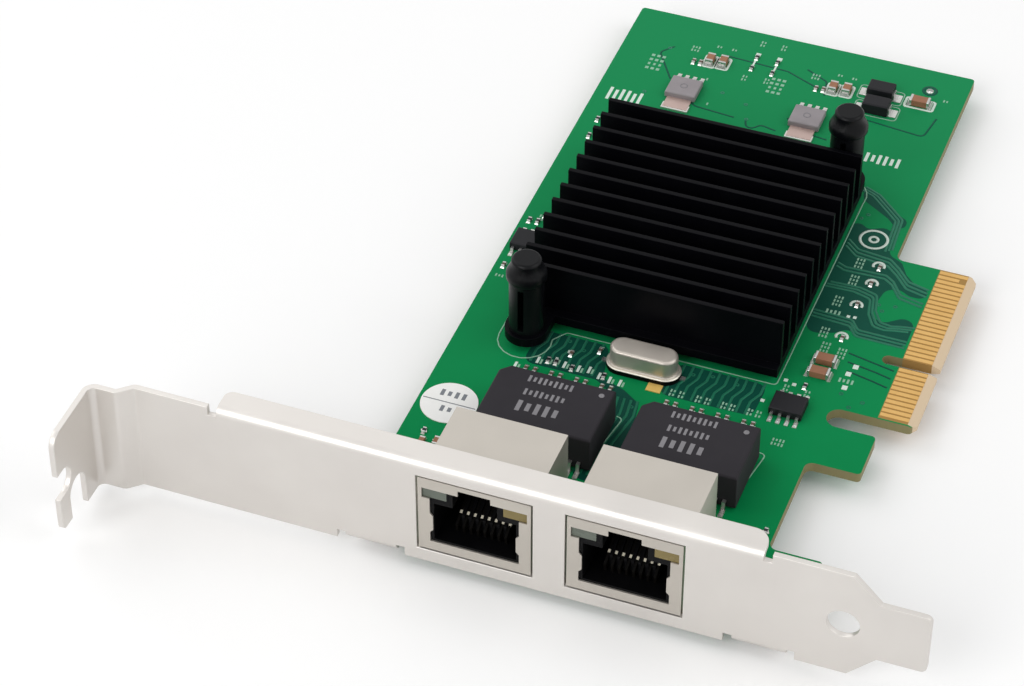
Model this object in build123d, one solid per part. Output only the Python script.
"""Two-port network interface card with a four-lane edge connector and a slotted mounting bracket.

Frame: +X runs from the board's top edge to the contact edge, +Y runs along the card away from
the bracket, and +Z stands out of the component side. The origin is where the centre line of the
key notch meets the contact edge, on the component surface. Lengths are in millimetres.
"""
import os
from math import hypot

from build123d import *

os.makedirs("parts", exist_ok=True)

# Circuit board
board_thickness = 1.57
board_height = 68.9
board_length = 127.1
board_edge_clearance = 0.05
shoulder_depth = 12.65
inner_corner_radius = 1.2
outer_corner_radius = 0.6

# Contact edge: tongue, key notch, gold contacts
contact_pitch = 1.0
contact_width = 0.7
contact_thickness = 0.06
contact_back = 5.6
contact_tip = 1.3
presence_contact_tip = 2.4
contacts_before_key = 11
contacts_after_key = 21
key_to_first_contact = 1.5
tongue_far_margin = 0.65
tongue_near_margin = 1.1
key_notch_width = 1.9
key_notch_depth = 8.5
tongue_corner = 0.8
short_contact_top = 31
short_contact_bottom = 1
bevel_length = 1.2
bevel_drop = 0.42

# Retention hook and the foot beside the bracket
retention_slot_width = 3.75
hook_width = 8.2
hook_setback = 4.8
foot_width = 14.9
foot_setback = 4.8

# Mounting bracket, one folded sheet
bracket_gauge = 0.86
bracket_width = 18.42
bracket_length = 120.02
bracket_face_y = -59.2
bracket_foot_x = 14.0
bend_radius = 0.6
tab_bend_radius = 1.0
jog_depth = 1.8
jog_run = 2.0
jog_from_tab = 5.7
screw_tab_length = 11.43
tab_corner_radius = 2.0
screw_slot_width = 4.42
screw_slot_height = 9.1
screw_slot_centre_depth = 9.85
relief_width = 4.6
relief_height = 4.7
relief_depth = 6.35
finger_shortening = 1.1
foot_tongue_width = 10.19
foot_tongue_length = 6.8
foot_taper_length = 3.9
foot_hole_diameter = 4.6
foot_hole_setback = 11.7
foot_corner_radius = 1.0
stiffener_depth = 4.2
stiffener_near_end = 9.0
stiffener_far_end = 87.2
stiffener_tip_radius = 2.4
stiffener_tail_radius = 1.3
fold_relief = 1.2
fold_overlap = 0.3
ear_width = 7.6
ear_length = 11.0
ear_corner_radius = 1.6
ear_hole_setback = 6.6
ear_edge_margin = 0.3

# Bracket screws and the nuts fixed to the board
screw_diameter = 2.9
screw_head_diameter = 5.4
screw_head_height = 1.5
screw_clearance = 0.15
screw_end = 2.2
screw_head_edge = 0.65
recess_width = 0.8
recess_length = 2.6
recess_depth = 0.8
nut_width = 5.0
nut_clearance = 0.04
nut_height = 1.8

# Modular jacks
first_jack_x = -49.5
jack_pitch = 21.43
jack_width = 16.3
jack_headroom = 1.93
jack_depth = 14.75
jack_recess = 0.1
jack_cutout_clearance = 0.28
shield_gauge = 0.25
shield_fit = 0.05
mouth_margin = 1.7
cheek_depth = 0.45
cheek_slope = 0.5
window_margin = 0.55
latch_width = 4.7
plug_margin = 2.2
plug_depth = 12.4
# Heights in the jack, as shares of its height
mouth_floor_share = 0.121
cheek_low_share = 0.25
cheek_high_share = 0.523
window_low_share = 0.727
window_high_share = 0.864
latch_high_share = 0.939
plug_floor_share = 0.144
plug_ceiling_share = 0.652
latch_channel_width = 6.4
latch_channel_depth = 5.5
channel_overlap = 0.1
housing_back_gap = 0.9
spring_window_height = 2.4
spring_window_length = 5.2
spring_window_low = 1.6
spring_window_setback = 2.4
spring_height = 1.7
spring_bulge = 0.42
spring_crest = 2.1
spring_tip = 0.3
spring_root = 0.01
post_width = 1.1
post_setback = 8.6
post_reach = 1.1
peg_diameter = 2.2
peg_margin = 2.435
peg_setback = 6.0
peg_reach = 0.5
peg_hole_clearance = 0.1
root_overlap = 0.5

# Jack contacts and lamps
wire_pitch = 1.02
wire_width = 0.36
wire_thickness = 0.3
wire_knee_setback = 2.9
wire_tip_setback = 9.3
wire_tip_share = 0.462
wire_knee_rise = 1.1
wire_knee_lean = 0.2
wire_floor_gap = 0.03
comb_rib_width = 0.5
comb_setback = 3.7
comb_rise = 0.45
wire_row_setback = 11.2
wire_row_step = 1.2
wire_reach = 1.2
solder_fit = 0.05
wire_slot_margin = 0.35
lamp_to_channel = 0.9
lamp_length = 5.0
lamp_fit = 0.06
lamp_lead_size = 0.4
lamp_lead_spacing = 1.6

# Magnetics modules behind the jacks
module_length = 17.2
module_width = 11.15
module_height = 5.7
module_standoff = 0.3
module_setback = 21.72
module_offset = 0.37
module_corner = 1.4
module_edge = 0.25
module_pins_per_side = 12
module_pin_pitch = 1.27
module_pin_width = 0.5
module_pin_thickness = 0.25
module_pin_reach = 1.45
module_pin_height = 1.4

# Controller, thermal pad, heatsink
controller_x = -41.55
controller_y = 11.2
controller_size = 17.0
controller_height = 1.15
controller_cap_size = 15.0
controller_cap_height = 0.6
controller_cap_corner = 0.5
pad_size = 14.0
pad_thickness = 0.2
sink_length = 40.5
sink_base_thickness = 1.5
sink_edge = 1.4
fin_count = 12
fin_pitch = 3.67
fin_root = 1.0
fin_tip = 0.75
fin_height = 7.65
sink_ear_radius = 3.2

# Push pins: a slotted sleeve through the heatsink's ear and the board, and the pin that spreads it
push_pin_offset_x = 16.95
push_pin_offset_y = 24.55
push_pin_shift = -0.95
pin_head_diameter = 4.5
pin_head_height = 1.1
pin_head_edge = 0.35
pin_collar_diameter = 6.0
pin_collar_height = 1.0
pin_cone_height = 1.5
pin_stem_diameter = 1.5
pin_stem_clearance = 0.05
sleeve_diameter = 5.2
sleeve_height = 9.4
sleeve_slot_width = 0.9
sleeve_slot_margin = 0.9
shank_diameter = 2.7
shank_clearance = 0.2
barb_diameter = 3.7
barb_gap = 0.1
barb_edge = 0.3
barb_height = 2.6
barb_tip_diameter = 2.3
barb_split_width = 0.7

# Quartz crystal
crystal_x = -40.3
crystal_y = -14.45
crystal_can_length = 10.2
crystal_can_width = 3.8
crystal_can_height = 2.9
crystal_flange_length = 11.3
crystal_flange_width = 4.8
crystal_flange_height = 0.35
crystal_seat_height = 0.65
crystal_lead_length = 2.2
crystal_lead_reach = 0.7
crystal_lead_fit = 0.05
crystal_lead_width = 0.7
crystal_lead_groove = 0.25
crystal_can_edge = 0.3

# Small-outline packages: the memory beside the crystal, the supervisor at the board's top edge
memory_place = (-18.2, -15.2)
supervisor_from_edge = 3.35
supervisor_y = 5.95
outline_length = 4.9
outline_width = 3.9
outline_height = 1.35
outline_pins_per_side = 4
outline_pin_pitch = 1.27
outline_pin_reach = 1.1

# Lead stock of the small packages, and the gap under a moulded body
lead_width = 0.42
lead_thickness = 0.2
lead_height = 0.6
lead_shoulder = 0.35
lead_slope = 0.15
package_standoff = 0.1
package_edge = 0.15

# Voltage regulators
regulator_places = ((-55.5, 50.1), (-34.9, 49.7))
regulator_length = 5.0
regulator_width = 4.6
regulator_height = 1.1
regulator_pins = 4
regulator_pin_pitch = 1.27
regulator_pin_reach = 1.6
regulator_tab_width = 4.0
regulator_tab_length = 2.6
regulator_tab_thickness = 0.25

# Diodes at the far end
diode_places = ((-25.7, 60.2), (-25.4, 56.2))
diode_length = 4.2
diode_width = 2.7
diode_height = 1.9
diode_terminal_length = 0.5
diode_terminal_thickness = 0.2
diode_terminal_height = 1.1
diode_terminal_width = 1.6

# Chip parts: length, width, height of each case size
small_chip = (1.0, 0.55, 0.4)
medium_chip = (1.6, 0.85, 0.7)
large_chip = (2.1, 1.3, 1.1)
wide_chip = (3.2, 1.7, 1.2)
chip_cap_share = 0.22
chip_cap_lip = 0.04

# Four pairs of small chips behind each module
line_pair_pitch = 3.87
line_pair_gap = 1.36
line_offset = -0.4
line_chip_setback = 38.9

# Test sticker
sticker_from_edge = 4.75
sticker_y = -31.0
sticker_diameter = 8.4
sticker_thickness = 0.12

# Places that follow from the sizes above
top_edge_x = -board_height
supervisor_place = (top_edge_x + supervisor_from_edge, supervisor_y)
sticker_x = top_edge_x + sticker_from_edge
board_near_y = bracket_face_y + bracket_gauge + bend_radius + board_edge_clearance
board_far_y = board_near_y + board_length
board_bottom_z = -board_thickness
tongue_far_y = key_to_first_contact + (contacts_after_key - 1) * contact_pitch + tongue_far_margin
tongue_near_y = -(key_to_first_contact + (contacts_before_key - 1) * contact_pitch + tongue_near_margin)
hook_far_y = tongue_near_y - retention_slot_width
hook_near_y = hook_far_y - hook_width
foot_far_y = board_near_y + foot_width
bracket_low_z = board_bottom_z - bracket_gauge
bracket_high_z = bracket_low_z + bracket_width
bracket_back_y = bracket_face_y + bracket_gauge
tab_x = bracket_foot_x - bracket_length
tab_inner_x = tab_x + bracket_gauge
jog_face_y = bracket_face_y - jog_depth
tab_tip_y = jog_face_y - screw_tab_length
ear_centres = (top_edge_x + ear_edge_margin + ear_width / 2, -foot_setback - ear_edge_margin - ear_width / 2)
ear_hole_y = bracket_back_y + ear_hole_setback
jack_height = bracket_high_z - bracket_gauge - jack_headroom
mouth_floor, mouth_width = jack_height * mouth_floor_share, jack_width - 2 * mouth_margin
cheek_low, cheek_high = jack_height * cheek_low_share, jack_height * cheek_high_share
cheek_width = mouth_width - 2 * cheek_depth
window_low, window_high = jack_height * window_low_share, jack_height * window_high_share
window_width = jack_width - 2 * window_margin
latch_high = jack_height * latch_high_share
plug_floor, plug_ceiling = jack_height * plug_floor_share, jack_height * plug_ceiling_share
plug_width = jack_width - 2 * plug_margin
wire_tip_height = jack_height * wire_tip_share
peg_spacing = jack_width - 2 * peg_margin
lamp_width = (window_width - latch_channel_width) / 2 - lamp_to_channel
jack_front_y = bracket_face_y + jack_recess
jack_back_y = jack_front_y + jack_depth
jack_centres = (first_jack_x, first_jack_x + jack_pitch)
lamp_lead_y = jack_back_y - (housing_back_gap + shield_gauge) / 2
sink_bottom_z = controller_height + pad_thickness
sink_deck_z = sink_bottom_z + sink_base_thickness
sleeve_top_z = sink_deck_z + sleeve_height
barb_low_z = board_bottom_z - barb_gap - barb_height
sink_width = (fin_count - 1) * fin_pitch + fin_root + 2 * sink_edge
push_pins = tuple((controller_x + side * push_pin_offset_x,
                   controller_y + push_pin_shift + side * push_pin_offset_y)
                  for side in (-1, 1))


def block(x, y, z):
    """Box between a pair of limits on each axis."""
    middle = [sum(pair) / 2 for pair in (x, y, z)]
    return Pos(*middle) * Box(*(max(pair) - min(pair) for pair in (x, y, z)))


def around(centre, size):
    """Pair of limits a size apart about a centre."""
    return centre - size / 2, centre + size / 2


def rectangle(x, y):
    """Flat rectangle between a pair of limits on X and on Y."""
    return Pos(sum(x) / 2, sum(y) / 2) * Rectangle(abs(x[1] - x[0]), abs(y[1] - y[0]))


def rod(x, y, diameter, z):
    """Upright cylinder between two heights."""
    return Pos(x, y, sum(z) / 2) * Cylinder(diameter / 2, abs(z[1] - z[0]))


def save(name, *pieces):
    """Write one node from its solids."""
    solids = [solid for piece in pieces for solid in piece.solids()]
    export_step(solids[0] if len(solids) == 1 else Compound(children=solids), f"parts/{name}.step")


def side_of(points, radii, distance):
    """One side of a bent strip: its corner points moved sideways, joined with the bend radii to match."""
    units = []
    for (ax, ay), (bx, by) in zip(points, points[1:]):
        run = hypot(bx - ax, by - ay)
        units.append(((bx - ax) / run, (by - ay) / run))
    normals = [(-uy, ux) for ux, uy in units]
    moved = [(points[0][0] + normals[0][0] * distance, points[0][1] + normals[0][1] * distance)]
    side_radii = []
    for i, (px, py) in enumerate(points[1:-1]):
        (ax, ay), (bx, by) = normals[i], normals[i + 1]
        share = distance / (1 + ax * bx + ay * by)
        moved.append((px + (ax + bx) * share, py + (ay + by) * share))
        turn = units[i][0] * units[i + 1][1] - units[i][1] * units[i + 1][0]
        if radii:
            side_radii.append(radii[i] - distance if turn > 0 else radii[i] + distance)
    moved.append((points[-1][0] + normals[-1][0] * distance, points[-1][1] + normals[-1][1] * distance))
    return FilletPolyline(*moved, radius=side_radii) if radii else Polyline(*moved)


def bent_strip(plane, points, radii, thickness, width):
    """Flat stock bent along a centre line, its width centred on the plane. No radii means sharp bends."""
    left = side_of(points, radii, thickness / 2)
    right = side_of(points, radii, -thickness / 2)
    ends = [Line(left @ 0, right @ 0), Line(left @ 1, right @ 1)]
    face = make_face([*left.edges(), *right.edges(), *ends])
    return extrude(plane * face, amount=width / 2, both=True)


def board_outline():
    """Board outline with its tongue, key notch, retention slot, hook and foot."""
    root_x = -shoulder_depth - 1
    tongue = Polygon(
        (root_x, tongue_near_y), (-tongue_corner, tongue_near_y), (0, tongue_near_y + tongue_corner),
        (0, tongue_far_y - tongue_corner), (-tongue_corner, tongue_far_y), (root_x, tongue_far_y), align=None)
    slot_radius = retention_slot_width / 2
    slot_y = tongue_near_y - slot_radius
    slot_x = -shoulder_depth + slot_radius
    outline = rectangle((top_edge_x, -shoulder_depth), (board_near_y, board_far_y)) + tongue
    outline += rectangle((root_x, -hook_setback), (hook_near_y, hook_far_y))
    outline += rectangle((root_x, -foot_setback), (board_near_y, foot_far_y))
    outline += rectangle((root_x, slot_x), (hook_far_y - 1, tongue_near_y + 1))
    outline -= Pos(slot_x, slot_y) * Circle(slot_radius)
    key_x = -key_notch_depth + key_notch_width / 2
    outline -= rectangle((key_x, 1), around(0, key_notch_width)) + Pos(key_x, 0) * Circle(key_notch_width / 2)
    inner = [(-shoulder_depth, y) for y in (tongue_far_y, hook_near_y, foot_far_y)]
    outer = [(top_edge_x, board_near_y), (top_edge_x, board_far_y), (-shoulder_depth, board_far_y),
             (-hook_setback, hook_near_y), (-hook_setback, hook_far_y), (-foot_setback, foot_far_y)]
    outline = fillet([vertex_at(outline, place) for place in inner], inner_corner_radius)
    return fillet([vertex_at(outline, place) for place in outer], outer_corner_radius)


def vertex_at(shape, place):
    """Vertex of a flat shape nearest to a place."""
    return shape.vertices().sort_by_distance((*place, 0))[0]


def round_holes():
    """Round holes through the board, from the pieces that pass through them."""
    holes = [(x, ear_hole_y, screw_diameter + 2 * screw_clearance) for x in ear_centres]
    holes += [(x, y, shank_diameter + 2 * shank_clearance) for x, y in push_pins]
    peg_hole = peg_diameter + 2 * peg_hole_clearance
    for centre in jack_centres:
        holes += [(centre + side * peg_spacing / 2, jack_front_y + peg_setback, peg_hole) for side in (-1, 1)]
    return holes


def solder_holes():
    """Holes of the soldered leads. Solder fills them, so each one is a close fit about its lead."""
    fit = 2 * solder_fit
    lamp_hole = lamp_lead_size + fit
    post_y = jack_front_y + post_setback
    holes = []
    for centre in jack_centres:
        holes += [(centre + x, y, wire_width + fit, wire_thickness + fit) for x, y in wire_rows()]
        holes += [(centre + x, lamp_lead_y, lamp_hole, lamp_hole) for x in lamp_lead_offsets()]
        holes += [(centre + side * (jack_width - shield_gauge) / 2, post_y, shield_gauge + fit, post_width + fit)
                  for side in (-1, 1)]
    return holes


def make_board():
    outline = board_outline()
    for x, y, diameter in round_holes():
        outline -= Pos(x, y) * Circle(diameter / 2)
    for x, y, length, width in solder_holes():
        outline -= Pos(x, y) * Rectangle(length, width)
    board = Pos(0, 0, board_bottom_z) * extrude(outline, board_thickness)
    for surface, inward in ((0, -1), (board_bottom_z, 1)):
        drop_z = surface + inward * bevel_drop
        wedge = Plane.XZ * Polygon((-bevel_length, surface), (1, surface - inward), (1, drop_z), (0, drop_z),
                                   align=None)
        board -= extrude(wedge, amount=2 * tongue_far_y, both=True)
    return board


def make_contacts(surface, outward, short_contact):
    """Gold contacts of one side. One contact stops short of the others, to mate last."""
    before = [-(key_to_first_contact + i * contact_pitch) for i in reversed(range(contacts_before_key))]
    after = [key_to_first_contact + i * contact_pitch for i in range(contacts_after_key)]
    contacts = []
    for number, y in enumerate(before + after, start=1):
        tip = presence_contact_tip if number == short_contact else contact_tip
        contacts.append(block((-contact_back, -tip), around(y, contact_width),
                              (surface, surface + outward * contact_thickness)))
    return contacts


def fold(x, edge_z, inward, depth):
    """Lip folded back from a long edge of the bracket. Returns the lip and what it replaces."""
    centre_y = bracket_face_y + bracket_gauge / 2
    lip_z = edge_z + inward * bracket_gauge / 2
    start_z = edge_z + inward * (bend_radius + bracket_gauge)
    points = [(centre_y, start_z + inward * fold_overlap), (centre_y, lip_z), (bracket_back_y + depth, lip_z)]
    lip = bent_strip(Plane.YZ.offset(sum(x) / 2), points, [bend_radius + bracket_gauge / 2], bracket_gauge,
                     x[1] - x[0])
    notch = block((x[0] - fold_relief, x[1] + fold_relief), (bracket_face_y - 1, bracket_back_y + 0.01),
                  (edge_z - inward, start_z))
    return lip, notch


def lip_corner(x, y, radius, x_side, y_side, z):
    """Cutter that rounds one upright corner of a lip."""
    centre = (x - x_side * radius, y - y_side * radius)
    square = block(sorted((centre[0], x + x_side)), sorted((centre[1], y + y_side)), z)
    return square - rod(*centre, 2 * radius, z)


def make_bracket():
    middle_y = bracket_face_y + bracket_gauge / 2
    jog_y = middle_y - jog_depth
    tab_middle_x = tab_x + bracket_gauge / 2
    jog_x = tab_inner_x + jog_from_tab
    path = [(bracket_foot_x, middle_y), (jog_x, middle_y), (jog_x - jog_run, jog_y), (tab_middle_x, jog_y),
            (tab_middle_x, tab_tip_y)]
    radii = [bracket_gauge, bracket_gauge, tab_bend_radius + bracket_gauge / 2]
    middle_z = (bracket_low_z + bracket_high_z) / 2
    bracket = bent_strip(Plane.XY.offset(middle_z), path, radii, bracket_gauge, bracket_width)
    bracket -= foot_cutters(middle_z)
    for centre in jack_centres:
        width = jack_width + 2 * jack_cutout_clearance
        bracket -= block(around(centre, width), (bracket_face_y - 1, bracket_back_y + 1),
                         (-jack_cutout_clearance, jack_height + jack_cutout_clearance))
    bracket -= screw_tab_cutters()
    return add_lips(bracket)


def foot_cutters(middle_z):
    """Everything cut from the lower end: the tapered shoulders, the tongue's corners, the round hole."""
    y = (bracket_face_y - 1, bracket_back_y + 1)
    root_x = bracket_foot_x - foot_tongue_length
    taper_x = root_x - foot_taper_length
    cutters = Pos(bracket_foot_x - foot_hole_setback, sum(y) / 2, middle_z) * Rot(X=90) * Cylinder(
        foot_hole_diameter / 2, y[1] - y[0])
    for side in (-1, 1):
        edge = middle_z + side * foot_tongue_width / 2
        full = middle_z + side * (bracket_width / 2 + 1)
        wide = middle_z + side * bracket_width / 2
        shoulder = Polygon((taper_x, full), (taper_x, wide), (root_x, edge), (bracket_foot_x + 1, edge),
                           (bracket_foot_x + 1, full), align=None)
        cutters += extrude(Plane.XZ.offset(-sum(y) / 2) * shoulder, amount=(y[1] - y[0]) / 2, both=True)
        corner_z = edge - side * foot_corner_radius
        corner_x = bracket_foot_x - foot_corner_radius
        square = block((corner_x, bracket_foot_x + 1), y, sorted((corner_z, edge + side)))
        round_end = Rot(X=90) * Cylinder(foot_corner_radius, y[1] - y[0])
        cutters += square - Pos(corner_x, sum(y) / 2, corner_z) * round_end
    return cutters


def tab_face(shape):
    """Flat shape on the screw tab, drawn in Y and Z, as a cutter through the tab."""
    return extrude(Plane.YZ.offset(tab_x - 1) * shape, amount=bracket_gauge + 2)


def screw_tab_cutters():
    """Screw slot open to the tab's tip, relief open to its lower edge, and the rounded corners."""
    slot_z = bracket_low_z + screw_slot_height
    slot_y = jog_face_y - screw_slot_centre_depth
    slot = rectangle((tab_tip_y - 1, slot_y), around(slot_z, screw_slot_width))
    slot += Pos(slot_y, slot_z) * Circle(screw_slot_width / 2)
    relief_y = jog_face_y - relief_depth
    relief_z = bracket_low_z + relief_height
    relief = rectangle(around(relief_y, relief_width), (bracket_low_z - 1, relief_z))
    relief += Pos(relief_y, relief_z) * Circle(relief_width / 2)
    finger_end = bracket_low_z + finger_shortening
    short = rectangle((tab_tip_y - 1, relief_y), (bracket_low_z - 1, finger_end))
    cutters = tab_face(slot) + tab_face(relief) + tab_face(short)
    for z, side, radius in ((bracket_high_z, 1, tab_corner_radius), (finger_end, -1, tab_corner_radius / 2)):
        square = rectangle((tab_tip_y - 1, tab_tip_y + radius), sorted((z - side * radius, z + side)))
        cutters += tab_face(square - Pos(tab_tip_y + radius, z - side * radius) * Circle(radius))
    return cutters


def add_lips(bracket):
    """Stiffener folded over the jacks, and the two ears folded under the board."""
    x = (-stiffener_far_end, -stiffener_near_end)
    lip, notch = fold(x, bracket_high_z, -1, stiffener_depth - bracket_gauge)
    tip_y = bracket_face_y + stiffener_depth
    z = (bracket_high_z - bracket_gauge - 1, bracket_high_z + 1)
    lip -= lip_corner(x[1], tip_y, stiffener_tip_radius, 1, 1, z)
    lip -= lip_corner(x[0], tip_y, stiffener_tail_radius, -1, 1, z)
    bracket = bracket - notch + lip
    for centre in ear_centres:
        ear_x = around(centre, ear_width)
        ear, notch = fold(ear_x, bracket_low_z, 1, ear_length)
        ear_z = (bracket_low_z - 1, board_bottom_z + 1)
        ear_tip_y = bracket_back_y + ear_length
        for side in (0, 1):
            ear -= lip_corner(ear_x[side], ear_tip_y, ear_corner_radius, 2 * side - 1, 1, ear_z)
        ear -= rod(centre, ear_hole_y, screw_diameter + 2 * screw_clearance, ear_z)
        bracket = bracket - notch + ear
    return bracket


def make_screw(x):
    """Pan-head screw with a cross recess, driven from under the ear."""
    head_z = bracket_low_z - screw_head_height
    screw = rod(x, ear_hole_y, screw_diameter, (bracket_low_z, screw_end))
    head = rod(x, ear_hole_y, screw_head_diameter, (head_z, bracket_low_z))
    screw += chamfer(head.edges().group_by(Axis.Z)[0], screw_head_edge)
    for size in ((recess_length, recess_width), (recess_width, recess_length)):
        screw -= block(around(x, size[0]), around(ear_hole_y, size[1]), (head_z - 1, head_z + recess_depth))
    return screw


def make_nut(x):
    """Hexagonal nut soldered to the component side over the screw hole."""
    nut = Pos(x, ear_hole_y) * extrude(RegularPolygon(nut_width / 2, 6, major_radius=False), nut_height)
    return nut - rod(x, ear_hole_y, screw_diameter + 2 * nut_clearance, (-1, nut_height + 1))


def jack_mouth():
    """Outline of the shield's mouth in X and Z: plug, cheeks, lamp windows and latch keyway."""
    mouth_x, cheek_x, window_x, latch_x = mouth_width / 2, cheek_width / 2, window_width / 2, latch_width / 2
    half = [(mouth_x, mouth_floor), (mouth_x, cheek_low), (cheek_x, cheek_low + cheek_slope),
            (cheek_x, cheek_high - cheek_slope), (mouth_x, cheek_high), (mouth_x, window_low),
            (window_x, window_low), (window_x, window_high), (latch_x, window_high), (latch_x, latch_high)]
    return Polygon(*half, *[(-x, z) for x, z in reversed(half)], align=None)


def make_shield(centre):
    """Folded shield: five walls, the mouth, a spring tongue on each side, two ground posts."""
    y = (jack_front_y, jack_back_y)
    shell = block(around(centre, jack_width), y, (0, jack_height))
    shell -= block(around(centre, jack_width - 2 * shield_gauge), (y[0] + shield_gauge, y[1] - shield_gauge),
                   (-1, jack_height - shield_gauge))
    mouth = Plane.XZ.offset(-jack_front_y) * (Pos(centre, 0) * jack_mouth())
    shell -= extrude(mouth, amount=2 * shield_gauge, both=True)
    for side in (-1, 1):
        wall_x = centre + side * (jack_width - shield_gauge) / 2
        window_y = (y[0] + spring_window_setback, y[0] + spring_window_setback + spring_window_length)
        window_z = (spring_window_low, spring_window_low + spring_window_height)
        shell -= block(around(wall_x, 2 * shield_gauge), window_y, window_z)
        tongue = spring_path(wall_x, side, window_y)
        shell += bent_strip(Plane.XY.offset(sum(window_z) / 2), tongue, [shield_gauge] * 2, shield_gauge,
                            spring_height)
        shell += block(around(wall_x, shield_gauge), around(y[0] + post_setback, post_width),
                       (board_bottom_z - post_reach, root_overlap))
    return shell


def spring_path(wall, side, window_y):
    """Centre line of a spring tongue: rooted at the back of its window, bulging outward."""
    root_y, crest_y, tip_y = window_y[1] + spring_root, window_y[0] + spring_crest, window_y[0] + spring_tip
    return [(wall, root_y), (wall + side * spring_bulge, crest_y), (wall, tip_y)]


def wire_rows():
    """Places of the eight contact tails about the jack's centre, in two staggered rows."""
    row_y = jack_front_y + wire_row_setback
    return [((i - 3.5) * wire_pitch, row_y + (i % 2) * wire_row_step) for i in range(8)]


def lamp_centres():
    """Offsets of the two lamps from the jack's centre."""
    offset = window_width / 2 - lamp_width / 2
    return -offset, offset


def lamp_lead_offsets():
    return [lamp + side * lamp_lead_spacing / 2 for lamp in lamp_centres() for side in (-1, 1)]


def make_housing(centre):
    """Black insulator: plug cavity, latch channel, lamp grooves, wire slot with its comb, two pegs."""
    wall = shield_gauge + shield_fit
    front = jack_front_y + wall
    back = jack_back_y - shield_gauge - housing_back_gap
    top = jack_height - wall
    body = block(around(centre, jack_width - 2 * wall), (front, back), (0, top))
    cavity_y = (front - 1, jack_front_y + plug_depth)
    body -= block(around(centre, plug_width), cavity_y, (plug_floor, plug_ceiling))
    body -= block(around(centre, latch_channel_width), (front - 1, front + latch_channel_depth),
                  (plug_ceiling - channel_overlap, latch_high))
    for lamp in lamp_centres():
        body -= block(around(centre + lamp, lamp_width + 2 * lamp_fit), (front - 1, back + 1),
                      (window_low - lamp_fit, window_high + lamp_fit))
    slot_half = 3.5 * wire_pitch + wire_width / 2 + wire_slot_margin
    tail_y = [y for _, y in wire_rows()]
    body -= block((centre - slot_half, centre + slot_half),
                  (min(tail_y) - wire_thickness / 2 - wire_slot_margin, max(tail_y) + wire_thickness / 2
                   + wire_slot_margin), (-1, plug_floor + 1))
    for i in range(-3, 4):
        body += comb_rib(centre + i * wire_pitch)
    for side in (-1, 1):
        body += rod(centre + side * peg_spacing / 2, jack_front_y + peg_setback, peg_diameter,
                    (board_bottom_z - peg_reach, root_overlap))
    return body


def free_wire_height(y):
    """Height of a contact's rising free end at a place along it."""
    start_y = jack_front_y + wire_knee_setback - wire_knee_lean
    start_z = plug_floor + wire_floor_gap + wire_thickness / 2 + wire_knee_rise
    share = (y - start_y) / (jack_front_y + wire_tip_setback - start_y)
    return start_z + share * (wire_tip_height - start_z)


def comb_rib(x):
    """Rib of the comb that keeps two neighbouring contacts apart, a little higher than they are."""
    y = (jack_front_y + comb_setback, jack_front_y + plug_depth)
    front_z, back_z = (free_wire_height(end) + comb_rise for end in y)
    root_z = plug_floor - root_overlap
    side = Polygon((y[0], root_z), (y[0], front_z), (y[1], back_z), (y[1], root_z), align=None)
    return extrude(Plane.YZ.offset(x) * side, amount=comb_rib_width / 2, both=True)


def make_jack_contacts(centre):
    """Eight spring wires: a solder tail, a run along the floor, a knee, and a free end rising back."""
    floor_z = plug_floor + wire_floor_gap + wire_thickness / 2
    knee_y = jack_front_y + wire_knee_setback
    tip_y = jack_front_y + wire_tip_setback
    wires = []
    for x, tail_y in wire_rows():
        points = [(tail_y, board_bottom_z - wire_reach), (tail_y, floor_z), (knee_y, floor_z),
                  (knee_y - wire_knee_lean, floor_z + wire_knee_rise), (tip_y, wire_tip_height)]
        wires.append(bent_strip(Plane.YZ.offset(centre + x), points, None, wire_thickness, wire_width))
    return wires


def make_lamp(centre):
    """Clear lamp block behind a window."""
    front = jack_front_y + shield_gauge + shield_fit
    return block(around(centre, lamp_width), (front, front + lamp_length), (window_low, window_high))


def make_lamp_leads(centre):
    """Two leads from the back of a lamp, along its groove and down behind the housing."""
    start_y = jack_front_y + shield_gauge + shield_fit + lamp_length
    z = (window_low + window_high) / 2
    points = [(start_y, z), (lamp_lead_y, z), (lamp_lead_y, board_bottom_z - wire_reach)]
    return [bent_strip(Plane.YZ.offset(centre + side * lamp_lead_spacing / 2), points, None,
                       lamp_lead_size, lamp_lead_size) for side in (-1, 1)]


def gull_wing(plane, edge, outward, body_z, reach, thickness, width):
    """Lead from a package's side, down to the board and out to a foot."""
    foot_z = thickness / 2
    knee = edge + outward * lead_shoulder * reach
    toe = edge + outward * reach
    points = [(edge, body_z), (knee, body_z), (knee + outward * lead_slope, foot_z), (toe, foot_z)]
    return bent_strip(plane, points, None, thickness, width)


def make_module(centre):
    """Moulded magnetics body with one chamfered corner and drafted walls."""
    x = around(centre + module_offset, module_length)
    y = around(jack_front_y + module_setback + module_width / 2, module_width)
    body = block(x, y, (module_standoff, module_standoff + module_height))
    corner = body.edges().filter_by(Axis.Z).sort_by_distance((x[0], y[1], 0))[0]
    body = chamfer(corner, module_corner)
    return chamfer(body.faces().sort_by(Axis.Z)[-1].edges(), module_edge)


def make_module_leads(centre):
    middle_y = jack_front_y + module_setback + module_width / 2
    first = centre + module_offset - (module_pins_per_side - 1) * module_pin_pitch / 2
    leads = []
    for side in (-1, 1):
        edge = middle_y + side * module_width / 2
        for i in range(module_pins_per_side):
            leads.append(gull_wing(Plane.YZ.offset(first + i * module_pin_pitch), edge, side, module_pin_height,
                                   module_pin_reach, module_pin_thickness, module_pin_width))
    return leads


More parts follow.
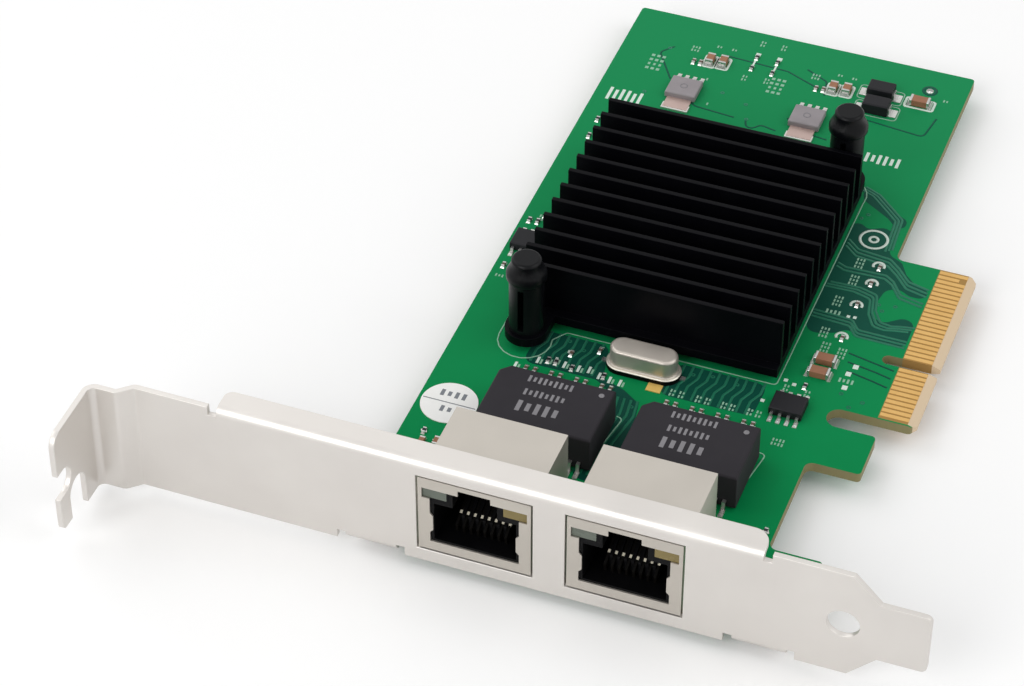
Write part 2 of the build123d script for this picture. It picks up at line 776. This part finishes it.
def make_controller():
    """Controller package: a square substrate with a smaller moulded cap."""
    split = controller_height - controller_cap_height
    base = block(around(controller_x, controller_size), around(controller_y, controller_size), (0, split))
    cap = block(around(controller_x, controller_cap_size), around(controller_y, controller_cap_size),
                (split, controller_height))
    return base + chamfer(cap.edges().filter_by(Axis.Z), controller_cap_corner)


def make_thermal_pad():
    return block(around(controller_x, pad_size), around(controller_y, pad_size),
                 (controller_height, controller_height + pad_thickness))


def make_heatsink():
    """Extruded heatsink: a base with tapered fins, and an ear for each push pin at two corners."""
    section = rectangle(around(controller_y, sink_width), (sink_bottom_z, sink_deck_z))
    first = controller_y - (fin_count - 1) * fin_pitch / 2
    top_z = sink_deck_z + fin_height
    for i in range(fin_count):
        y = first + i * fin_pitch
        section += Polygon((y - fin_root / 2, sink_deck_z), (y + fin_root / 2, sink_deck_z),
                           (y + fin_tip / 2, top_z), (y - fin_tip / 2, top_z), align=None)
    sink = extrude(Plane.YZ.offset(controller_x) * section, amount=sink_length / 2, both=True)
    z = (sink_bottom_z, sink_deck_z)
    for x, y in push_pins:
        sink += block(around(x, 2 * sink_ear_radius), sorted((y, controller_y)), z)
        sink += rod(x, y, 2 * sink_ear_radius, z)
        sink -= rod(x, y, shank_diameter + 2 * shank_clearance, (z[0] - 1, z[1] + 1))
    return sink


def make_push_pin(x, y):
    """Pin with a flat head, a cone, a collar that bears on the sleeve, and a stem down its bore."""
    collar_top = sleeve_top_z + pin_collar_height
    head_low = collar_top + pin_cone_height
    head_top = head_low + pin_head_height
    profile = Polygon(
        (0, head_top), (pin_head_diameter / 2 - pin_head_edge, head_top),
        (pin_head_diameter / 2, head_top - pin_head_edge), (pin_head_diameter / 2, head_low),
        (pin_collar_diameter / 2, collar_top),
        (pin_collar_diameter / 2, sleeve_top_z), (pin_stem_diameter / 2, sleeve_top_z),
        (pin_stem_diameter / 2, barb_low_z), (0, barb_low_z), align=None)
    return Pos(x, y) * revolve(Plane.XZ * profile, Axis.Z)


def make_pin_sleeve(x, y):
    """Sleeve with two slots in its column, and a split shank with a barb under the board."""
    barb_top = board_bottom_z - barb_gap
    bore = pin_stem_diameter / 2 + pin_stem_clearance
    profile = Polygon(
        (bore, sleeve_top_z), (sleeve_diameter / 2, sleeve_top_z), (sleeve_diameter / 2, sink_deck_z),
        (shank_diameter / 2, sink_deck_z), (shank_diameter / 2, barb_top), (barb_diameter / 2, barb_top),
        (barb_diameter / 2, barb_top - barb_edge), (barb_tip_diameter / 2, barb_low_z), (bore, barb_low_z),
        align=None)
    sleeve = Pos(x, y) * revolve(Plane.XZ * profile, Axis.Z)
    sleeve -= block(around(x, sleeve_slot_width), around(y, 2 * sleeve_diameter),
                    (sink_deck_z + sleeve_slot_margin, sleeve_top_z - sleeve_slot_margin))
    split_z = (barb_low_z - 1, board_bottom_z)
    return sleeve - block(around(x, barb_split_width), around(y, 2 * barb_diameter), split_z)


def oval(length, width, z):
    """Round-ended upright slab about the crystal's place."""
    flat = SlotOverall(length, width)
    return Pos(crystal_x, crystal_y, z[0]) * extrude(flat, z[1] - z[0])


def make_crystal_can():
    """Drawn can with its welded flange."""
    flange_z = crystal_seat_height + crystal_flange_height
    can = oval(crystal_can_length, crystal_can_width, (flange_z, flange_z + crystal_can_height))
    can = chamfer(can.edges().group_by(Axis.Z)[-1], crystal_can_edge)
    return can + oval(crystal_flange_length, crystal_flange_width, (crystal_seat_height, flange_z))


def make_crystal_seat():
    """Moulded seat under the can, grooved for the two leads."""
    seat = oval(crystal_flange_length, crystal_flange_width, (0, crystal_seat_height))
    for side in (-1, 1):
        end = crystal_x + side * crystal_flange_length / 2
        seat -= block(sorted((end - side * crystal_lead_length, end + side)),
                      around(crystal_y, crystal_lead_width + 2 * crystal_lead_fit), (-1, crystal_lead_groove))
    return seat


def make_crystal_leads():
    """Two flat leads along the seat's grooves, out to the pads."""
    leads = []
    for side in (-1, 1):
        end = crystal_x + side * crystal_flange_length / 2
        leads.append(block(sorted((end - side * crystal_lead_length, end + side * crystal_lead_reach)),
                           around(crystal_y, crystal_lead_width), (0, crystal_lead_groove)))
    return leads


def make_package(x, y, length, width, height):
    """Moulded package with chamfered top edges."""
    body = block(around(x, length), around(y, width), (package_standoff, package_standoff + height))
    return chamfer(body.faces().sort_by(Axis.Z)[-1].edges(), package_edge)


def make_leads(x, y, width, count, pitch, reach, sides=(-1, 1)):
    """Rows of small gull-wing leads along a package's near and far sides."""
    leads = []
    for side in sides:
        edge = y + side * width / 2
        for i in range(count):
            plane = Plane.YZ.offset(x + (i - (count - 1) / 2) * pitch)
            leads.append(gull_wing(plane, edge, side, lead_height, reach, lead_thickness, lead_width))
    return leads


def make_regulator_tab(x, y):
    """Cooling tab of a regulator, flat on the board."""
    near_y = y - regulator_width / 2
    return block(around(x, regulator_tab_width), (near_y - regulator_tab_length, near_y),
                 (0, package_standoff + regulator_tab_thickness))


def make_diode_body(x, y):
    return make_package(x, y, diode_length, diode_width, diode_height)


def make_diode_terminals(x, y):
    """Terminals folded under the ends of a diode."""
    terminals = []
    for side in (-1, 1):
        end = x + side * diode_length / 2
        inner = end + side * diode_terminal_thickness / 2
        foot = diode_terminal_thickness / 2
        points = [(inner, diode_terminal_height), (inner, foot), (inner + side * diode_terminal_length, foot)]
        terminals.append(bent_strip(Plane.XZ.offset(-y), points, None, diode_terminal_thickness,
                                    diode_terminal_width))
    return terminals


def make_chip(x, y, size, along_y):
    """Chip part with an end cap on each end, a lip prouder than its body."""
    length, width, height = size
    cap = chip_cap_share * length
    body = Box(length, width - 2 * chip_cap_lip, height - chip_cap_lip,
               align=(Align.CENTER, Align.CENTER, Align.MIN))
    for side in (-1, 1):
        body += Pos(side * (length - cap) / 2, 0, 0) * Box(cap, width, height,
                                                           align=(Align.CENTER, Align.CENTER, Align.MIN))
    return Pos(x, y, 0) * Rot(Z=90 if along_y else 0) * body


def make_plain_chip(x, y, size, along_y):
    """Small chip part as a plain slab."""
    length, width, height = size
    if along_y:
        length, width = width, length
    return block(around(x, length), around(y, width), (0, height))


def line_chips():
    """Four pairs of chips behind each module, on its lines to the controller."""
    places = []
    for centre in jack_centres:
        for pair in range(4):
            for side in (-0.5, 0.5):
                x = centre + line_offset + (pair - 1.5) * line_pair_pitch + side * line_pair_gap
                places.append((x, jack_front_y + line_chip_setback))
    return places


small_resistor_places = (
    (-53.9, -17.45), (-52.7, -17.45), (-50.1, -17.9), (-45.2, -17.9), (-17.3, -9.8), (-47.15, 62.7),
    (-47.15, 59.7), (-43.65, 62.5), (-43.65, 59.5), (-13.9, -39.9), (top_edge_x + 1.4, 11.4),
    (top_edge_x + 2.7, 11.5), (top_edge_x + 3.6, 1.1), (top_edge_x + 2.9, 38.5), (top_edge_x + 3.0, 34.1),
    (top_edge_x + 3.5, -37.6))
small_capacitor_places = (
    (-51.25, -14.95), (-47.5, -12.9), (-56.45, 58.2), (-55.3, 58.2), (-35.9, 58.2), (-34.7, 58.3), (-15.2, 2.1),
    (-14.35, 19.3), (-14.55, 15.35), (-15.2, 10.1), (top_edge_x + 1.4, 0.2), (top_edge_x + 3.3, 13.3))
medium_capacitor_places = (
    (-53.4, 42.8), (-51.35, 42.8), (-49.2, 42.8), (-40.8, 42.9), (-38.75, 42.9), (-36.7, 42.9), (-16.5, -41.4),
    (-18.6, -42.2), (top_edge_x + 4.0, -40.0), (top_edge_x + 6.0, -39.3))
large_capacitor_places = ((-53.95, 59.15), (-51.8, 59.3), (-33.3, 59.0), (-31.1, 59.2))
wide_capacitor_places = ((-19.3, 60.1), (-16.1, -3.7), (-16.2, -6.7))

save("circuit_board", make_board())
save("edge_contacts_top", *make_contacts(0, 1, short_contact_top))
save("edge_contacts_bottom", *make_contacts(board_bottom_z, -1, short_contact_bottom))
save("mounting_bracket", make_bracket())
save("bracket_screws", *[make_screw(x) for x in ear_centres])
save("bracket_nuts", *[make_nut(x) for x in ear_centres])

for side, centre in zip(("left", "right"), jack_centres):
    save(f"jack_shield_{side}", make_shield(centre))
    save(f"jack_housing_{side}", make_housing(centre))
    save(f"jack_contacts_{side}", *make_jack_contacts(centre))
    save(f"magnetics_body_{side}", make_module(centre))
    save(f"magnetics_leads_{side}", *make_module_leads(centre))

link_lamp, activity_lamp = lamp_centres()
save("link_lamps", *[make_lamp(centre + link_lamp) for centre in jack_centres])
save("activity_lamps", *[make_lamp(centre + activity_lamp) for centre in jack_centres])
save("lamp_leads", *[lead for centre in jack_centres for lamp in lamp_centres()
                     for lead in make_lamp_leads(centre + lamp)])

save("controller_chip", make_controller())
save("thermal_pad", make_thermal_pad())
save("heatsink", make_heatsink())
save("push_pins", *[make_push_pin(*place) for place in push_pins])
save("pin_sleeves", *[make_pin_sleeve(*place) for place in push_pins])

save("crystal_can", make_crystal_can())
save("crystal_seat", make_crystal_seat())
save("crystal_leads", *make_crystal_leads())

for name, (x, y) in (("memory", memory_place), ("supervisor", supervisor_place)):
    save(f"{name}_chip", make_package(x, y, outline_length, outline_width, outline_height))
    save(f"{name}_leads", *make_leads(x, y, outline_width, outline_pins_per_side, outline_pin_pitch,
                                      outline_pin_reach))

save("regulator_bodies", *[make_package(x, y, regulator_length, regulator_width, regulator_height)
                           for x, y in regulator_places])
save("regulator_tabs", *[make_regulator_tab(x, y) for x, y in regulator_places])
save("regulator_leads", *[lead for x, y in regulator_places
                          for lead in make_leads(x, y, regulator_width, regulator_pins, regulator_pin_pitch,
                                                 regulator_pin_reach, sides=(1,))])
save("diode_bodies", *[make_diode_body(x, y) for x, y in diode_places])
save("diode_terminals", *[piece for x, y in diode_places for piece in make_diode_terminals(x, y)])

save("line_capacitors", *[make_plain_chip(x, y, small_chip, True) for x, y in line_chips()])
save("small_resistors", *[make_plain_chip(x, y, small_chip, True) for x, y in small_resistor_places])
save("small_capacitors", *[make_plain_chip(x, y, small_chip, True) for x, y in small_capacitor_places])
save("medium_capacitors", *[make_chip(x, y, medium_chip, True) for x, y in medium_capacitor_places])
save("large_capacitors", *[make_chip(x, y, large_chip, True) for x, y in large_capacitor_places])
save("wide_capacitors", *[make_chip(x, y, wide_chip, False) for x, y in wide_capacitor_places])

save("test_sticker", rod(sticker_x, sticker_y, sticker_diameter, (0, sticker_thickness)))
